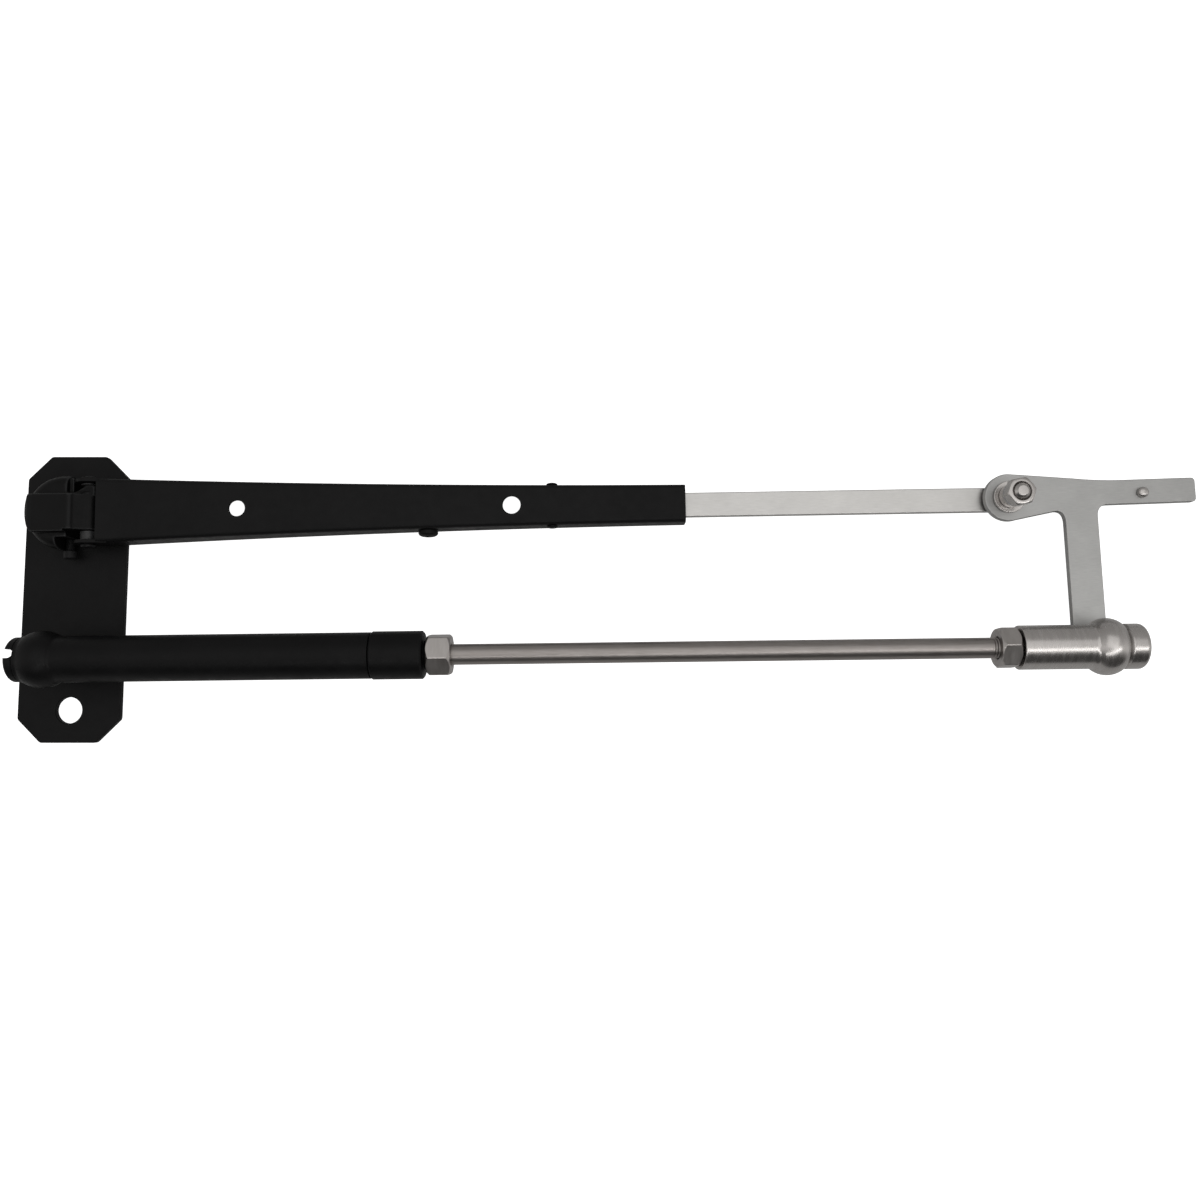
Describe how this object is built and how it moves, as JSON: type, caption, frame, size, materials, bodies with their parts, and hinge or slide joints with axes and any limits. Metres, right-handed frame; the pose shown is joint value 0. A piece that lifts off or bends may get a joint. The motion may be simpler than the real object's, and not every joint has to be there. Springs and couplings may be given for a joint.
{
  "type": "pantograph wiper arm",
  "caption": "Pantograph windscreen wiper arm: plate, spring loaded main arm with sliding bar, idler arm on ball joints, T bracket for the blade.",
  "frame": {"origin": "centre of the mounting plate's back face", "axes": "+X along the arms to the blade end, +Y from the idler arm to the main arm, +Z out of the mounting face"},
  "size_m": [0.4633, 0.1142, 0.0344],
  "materials": {
    "black_coat": "satin black powder coat",
    "satin_stainless": "satin stainless steel",
    "bright_stainless": "polished stainless steel",
    "spring_steel": "zinc plated steel",
    "brass": "machined brass",
    "black_nylon": "moulded nylon"
  },
  "bodies": {
    "mounting": {"mount_plate": "black_coat", "idler_spacer": "black_nylon", "idler_ball_stud": "spring_steel"},
    "drive": {"drive_head": "black_coat", "knurled_insert": "brass", "head_set_screw": "black_coat", "spring_hook_pin": "spring_steel"},
    "arm": {"arm_channel": "black_coat", "hinge_pin": "black_coat", "hinge_clip": "black_coat", "hinge_bush_lower": "black_nylon", "hinge_bush_upper": "black_nylon", "spring_anchor_screw": "black_coat", "anchor_nut": "spring_steel", "cross_rivet": "black_coat", "clamp_block": "satin_stainless", "clamp_set_screw_1": "spring_steel", "clamp_set_screw_2": "spring_steel"},
    "spring_pull": {"spring_yoke": "spring_steel", "tension_spring": "spring_steel"},
    "extension": {"extension_bar": "satin_stainless", "pivot_bolt": "bright_stainless", "pivot_spacer": "black_nylon", "pivot_washer": "bright_stainless", "pivot_collar": "bright_stainless", "pivot_lock_washer": "spring_steel", "pivot_nut": "bright_stainless"},
    "bracket": {"t_bracket": "satin_stainless", "blade_nib": "bright_stainless", "tip_ball_stud": "spring_steel"},
    "ball_liner": {"idler_ball_liner": "black_nylon"},
    "idler": {"idler_tube": "black_coat", "idler_end_plug": "black_coat", "idler_inner_seat": "black_nylon", "idler_outer_seat": "black_nylon", "idler_seat_spring": "spring_steel", "idler_spring_stop": "spring_steel", "tube_collar": "black_coat", "ferrule": "brass", "compression_nut": "bright_stainless"},
    "rod": {"adjusting_rod": "bright_stainless", "rod_lock_nut": "bright_stainless", "tip_socket": "bright_stainless", "tip_inner_seat": "black_nylon", "tip_outer_seat": "black_nylon", "tip_seat_spring": "spring_steel", "tip_end_plug": "bright_stainless"}
  },
  "joints": [
    {"name": "head_swing", "type": "hinge", "parent": "mounting", "child": "drive", "pos_m": [0, 0.0327, 0.008], "axis": [0, 0, 1], "range_deg": [-25, 25]},
    {"name": "arm_lift", "type": "hinge", "parent": "drive", "child": "arm", "pos_m": [0.0095, 0.03286, 0.0125], "axis": [0.0166, -0.9999, 0], "range_deg": [0, 10]},
    {"name": "yoke_pull", "type": "slide", "parent": "arm", "child": "spring_pull", "axis": [-0.9999, -0.0166, 0], "range_m": [0, 0.001]},
    {"name": "bar_slide", "type": "slide", "parent": "arm", "child": "extension", "axis": [0.9999, 0.0166, 0], "range_m": [-0.034, 0.03]},
    {"name": "tip_pivot", "type": "hinge", "parent": "extension", "child": "bracket", "pos_m": [0.36955, 0.03883, 0.0111], "axis": [0, 0, 1], "range_deg": [-24.8, 24.8]},
    {"name": "idler_swing", "type": "hinge", "parent": "mounting", "child": "ball_liner", "pos_m": [0, -0.025, 0.0236], "axis": [0, 0, 1], "range_deg": [-23.5, 23.5]},
    {"name": "idler_lift", "type": "hinge", "parent": "ball_liner", "child": "idler", "pos_m": [0, -0.025, 0.0236], "axis": [0.0121, -0.9999, 0], "range_deg": [0, 10.3]},
    {"name": "rod_slide", "type": "slide", "parent": "idler", "child": "rod", "axis": [0.9999, 0.0121, 0], "range_m": [-0.034, 0.03]}
  ],
  "couplings": [
    {"joint": "yoke_pull", "follows": "arm_lift", "m_per_rad": 0.0055},
    {"joint": "tip_pivot", "follows": "head_swing", "ratio": -0.985},
    {"joint": "idler_swing", "follows": "head_swing", "ratio": 0.926},
    {"joint": "idler_lift", "follows": "arm_lift", "ratio": 1.0155},
    {"joint": "rod_slide", "follows": "bar_slide", "ratio": 1}
  ]
}
